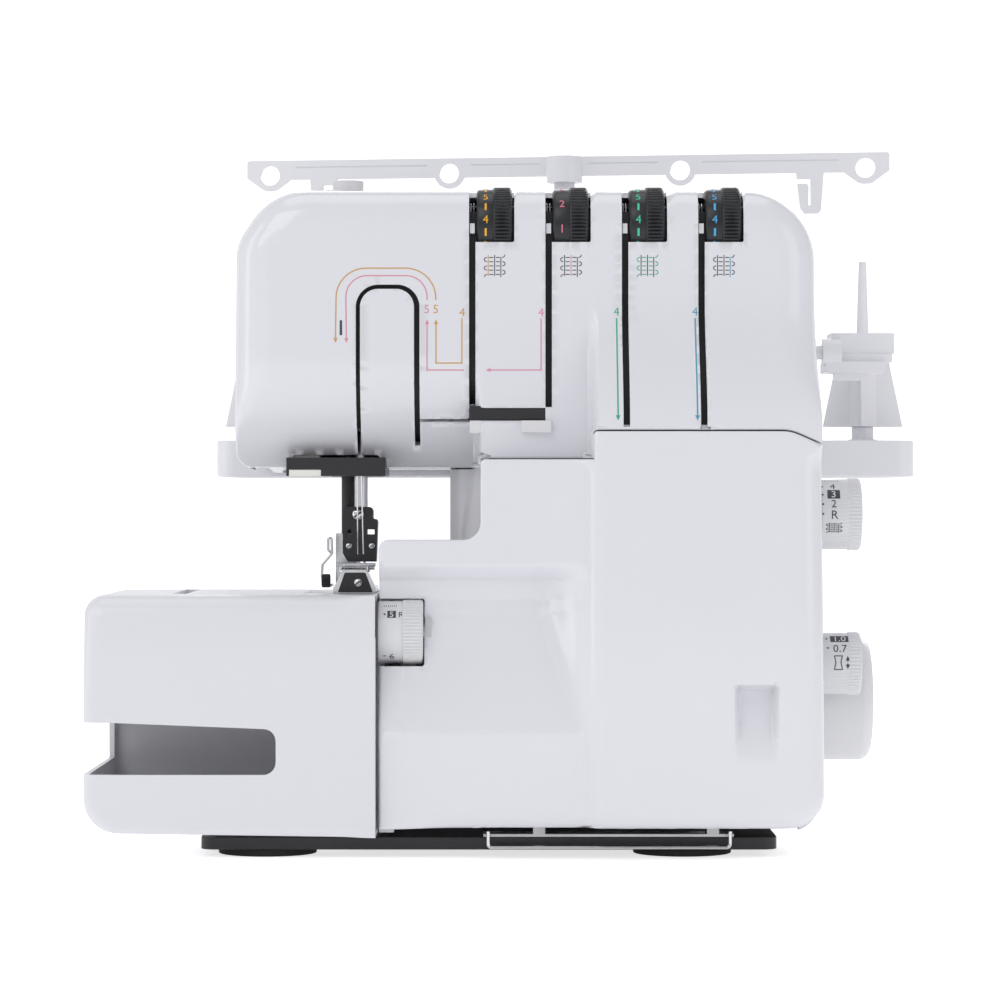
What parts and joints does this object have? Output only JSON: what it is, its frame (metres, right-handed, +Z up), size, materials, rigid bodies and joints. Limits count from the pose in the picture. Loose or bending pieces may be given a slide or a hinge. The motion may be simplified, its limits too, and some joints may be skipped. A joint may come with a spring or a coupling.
{
  "type": "overlock sewing machine",
  "caption": "Overlock machine that trims, sews and overcasts a fabric edge, with thread tension dials, loopers behind a hinged cover, an extension table and a spool stand with a thread tree.",
  "frame": {"origin": "middle of the machine's width and depth, on the surface it stands on", "axes": "+Z up, the operator's side faces -Y, +X towards the handwheel"},
  "size_m": [0.3474, 0.282, 0.297],
  "materials": {
    "casing": "gloss",
    "casing_rear": "gloss",
    "cover": "gloss",
    "table": "gloss",
    "black_plastic": "satin",
    "black_metal": "satin",
    "dial_black": "satin",
    "dial_white": "satin",
    "steel": "brushed",
    "chrome": "polished",
    "cast_aluminium": "cast",
    "sintered_bronze": "plain",
    "rubber": "matte",
    "belt": "matte",
    "knife_steel": "ground",
    "stand_plastic": "satin",
    "tube_plastic": "satin",
    "motor_can": "satin",
    "lamp_lens": "frosted"
  },
  "bodies": {
    "machine": {"front_casing": "casing", "rear_casing": "casing_rear", "free_arm_cover": "table", "hinge_bracket": "steel", "base_plate": "black_metal", "rubber_feet": "rubber", "frame_casting": "cast_aluminium", "bushes": "sintered_bronze", "motor_housing": "motor_can", "drive_belt": "belt", "timing_belt": "belt", "presser_spring": "steel", "needle_plate": "steel", "lower_knife": "knife_steel", "looper_carrier": "cast_aluminium", "dial_bracket": "steel", "tension_discs": "chrome", "dial_pins": "steel", "thread_guide_block": "black_plastic", "thread_guides": "dial_white", "rear_thread_guide": "stand_plastic", "head_plate": "black_metal", "lamp": "lamp_lens", "power_panel": "black_plastic", "spool_tray": "stand_plastic", "tray_bracket": "steel", "spool_pins": "stand_plastic", "cone_holders": "stand_plastic", "tree_lower_tube": "tube_plastic", "casing_screws": "steel"},
    "main_drive": {"main_shaft": "steel", "drive_pulley": "black_plastic", "handwheel": "dial_white"},
    "upper_drive": {"upper_shaft": "steel"},
    "motor_armature": {"motor_rotor": "steel"},
    "needle_head": {"needle_bar": "chrome", "needle_clamp": "black_metal", "needles": "chrome"},
    "presser": {"presser_bar": "black_metal", "presser_foot": "chrome"},
    "lifter": {"lifter_lever": "stand_plastic"},
    "pressure_adjuster": {"pressure_knob": "dial_white"},
    "knife_arm": {"upper_knife": "knife_steel"},
    "feed": {"feed_dogs": "steel"},
    "lower_looper_arm": {"lower_looper": "chrome"},
    "upper_looper_rod": {"upper_looper": "chrome"},
    "left_needle_tension": {"tension_dial_left_needle": "dial_black"},
    "right_needle_tension": {"tension_dial_right_needle": "dial_black"},
    "upper_looper_tension": {"tension_dial_upper_looper": "dial_black"},
    "lower_looper_tension": {"tension_dial_lower_looper": "dial_black"},
    "stitch_length": {"stitch_length_dial": "dial_white"},
    "differential_feed": {"differential_feed_dial": "dial_white"},
    "stitch_width": {"stitch_width_dial": "dial_white"},
    "power_rocker": {"power_switch": "black_plastic"},
    "cover_carrier": {"cover_hinge_rod": "steel"},
    "looper_cover": {"front_cover": "cover"},
    "table": {"extension_table": "table"},
    "tree_middle": {"tree_middle_tube": "tube_plastic"},
    "tree_upper": {"tree_upper_rod": "tube_plastic"},
    "thread_tree_arm": {"thread_arm": "stand_plastic"}
  },
  "joints": [
    {"name": "handwheel_spin", "type": "hinge", "parent": "machine", "child": "main_drive", "pos_m": [0.12075, -0.056, 0.061], "axis": [1, 0, 0], "continuous": true},
    {"name": "upper_shaft_spin", "type": "hinge", "parent": "machine", "child": "upper_drive", "pos_m": [0, -0.056, 0.2], "axis": [1, 0, 0], "continuous": true},
    {"name": "motor_spin", "type": "hinge", "parent": "machine", "child": "motor_armature", "pos_m": [0.08075, -0.008, 0.044], "axis": [1, 0, 0], "continuous": true},
    {"name": "needle_bar_slide", "type": "slide", "parent": "machine", "child": "needle_head", "axis": [0, 0, 1], "range_m": [0, 0.025]},
    {"name": "upper_knife_slide", "type": "slide", "parent": "machine", "child": "knife_arm", "axis": [0, 0, 1], "range_m": [0, 0.008]},
    {"name": "feed_dog_travel", "type": "slide", "parent": "machine", "child": "feed", "axis": [0, 1, 0], "range_m": [0, 0.003]},
    {"name": "lower_looper_swing", "type": "hinge", "parent": "machine", "child": "lower_looper_arm", "pos_m": [-0.03325, -0.0822, 0.046], "axis": [0, 1, 0], "range_deg": [0, 16]},
    {"name": "upper_looper_travel", "type": "slide", "parent": "machine", "child": "upper_looper_rod", "axis": [-0.6018, 0, 0.7986], "range_m": [0, 0.01]},
    {"name": "presser_foot_lift", "type": "slide", "parent": "machine", "child": "presser", "axis": [0, 0, 1], "range_m": [0, 0.006], "deforming": ["presser_spring"]},
    {"name": "lifter_lever_turn", "type": "hinge", "parent": "machine", "child": "lifter", "pos_m": [0.12075, -0.012, 0.207], "axis": [1, 0, 0], "range_deg": [0, 40]},
    {"name": "pressure_knob_turn", "type": "hinge", "parent": "machine", "child": "pressure_adjuster", "pos_m": [-0.07145, -0.066, 0.269], "axis": [0, 0, 1], "range_deg": [-180, 180]},
    {"name": "left_needle_tension_turn", "type": "hinge", "parent": "machine", "child": "left_needle_tension", "pos_m": [-0.01075, -0.1015, 0.255], "axis": [1, 0, 0], "range_deg": [-130, 170]},
    {"name": "right_needle_tension_turn", "type": "hinge", "parent": "machine", "child": "right_needle_tension", "pos_m": [0.01995, -0.1015, 0.255], "axis": [1, 0, 0], "range_deg": [-130, 170]},
    {"name": "upper_looper_tension_turn", "type": "hinge", "parent": "machine", "child": "upper_looper_tension", "pos_m": [0.05065, -0.1015, 0.255], "axis": [1, 0, 0], "range_deg": [-130, 170]},
    {"name": "lower_looper_tension_turn", "type": "hinge", "parent": "machine", "child": "lower_looper_tension", "pos_m": [0.08135, -0.1015, 0.255], "axis": [1, 0, 0], "range_deg": [-130, 170]},
    {"name": "stitch_length_turn", "type": "hinge", "parent": "machine", "child": "stitch_length", "pos_m": [0.12075, -0.096, 0.138], "axis": [1, 0, 0], "range_deg": [-120, 60]},
    {"name": "differential_feed_turn", "type": "hinge", "parent": "machine", "child": "differential_feed", "pos_m": [0.12075, -0.096, 0.0773], "axis": [1, 0, 0], "range_deg": [-120, 40]},
    {"name": "stitch_width_turn", "type": "hinge", "parent": "machine", "child": "stitch_width", "pos_m": [-0.05725, -0.121, 0.091], "axis": [1, 0, 0], "range_deg": [-90, 60]},
    {"name": "power_switch_rock", "type": "hinge", "parent": "machine", "child": "power_rocker", "pos_m": [0.11575, 0, 0.082], "axis": [0, 0, 1], "range_deg": [0, 10]},
    {"name": "front_cover_slide", "type": "slide", "parent": "machine", "child": "cover_carrier", "axis": [1, 0, 0], "range_m": [0, 0.008]},
    {"name": "front_cover_tilt", "type": "hinge", "parent": "cover_carrier", "child": "looper_cover", "pos_m": [0, -0.121, 0.021], "axis": [1, 0, 0], "range_deg": [0, 85]},
    {"name": "extension_table_slide", "type": "slide", "parent": "machine", "child": "table", "axis": [-1, 0, 0], "range_m": [0, 0.12]},
    {"name": "tree_middle_slide", "type": "slide", "parent": "machine", "child": "tree_middle", "axis": [0, 0, 1], "range_m": [0, 0.11]},
    {"name": "tree_upper_slide", "type": "slide", "parent": "tree_middle", "child": "tree_upper", "axis": [0, 0, 1], "range_m": [0, 0.11]},
    {"name": "thread_arm_swivel", "type": "hinge", "parent": "tree_upper", "child": "thread_tree_arm", "pos_m": [0.02025, 0.054, 0.29], "axis": [0, 0, 1], "range_deg": [-81, 99]}
  ],
  "couplings": [
    {"joint": "upper_shaft_spin", "follows": "handwheel_spin", "ratio": 1},
    {"joint": "motor_spin", "follows": "handwheel_spin", "ratio": 3},
    {"joint": "upper_knife_slide", "follows": "needle_bar_slide", "ratio": 0.32},
    {"joint": "feed_dog_travel", "follows": "needle_bar_slide", "ratio": 0.12},
    {"joint": "lower_looper_swing", "follows": "needle_bar_slide", "rad_per_m": 11.169},
    {"joint": "upper_looper_travel", "follows": "needle_bar_slide", "ratio": 0.4},
    {"joint": "lifter_lever_turn", "follows": "presser_foot_lift", "rad_per_m": 116.35}
  ]
}
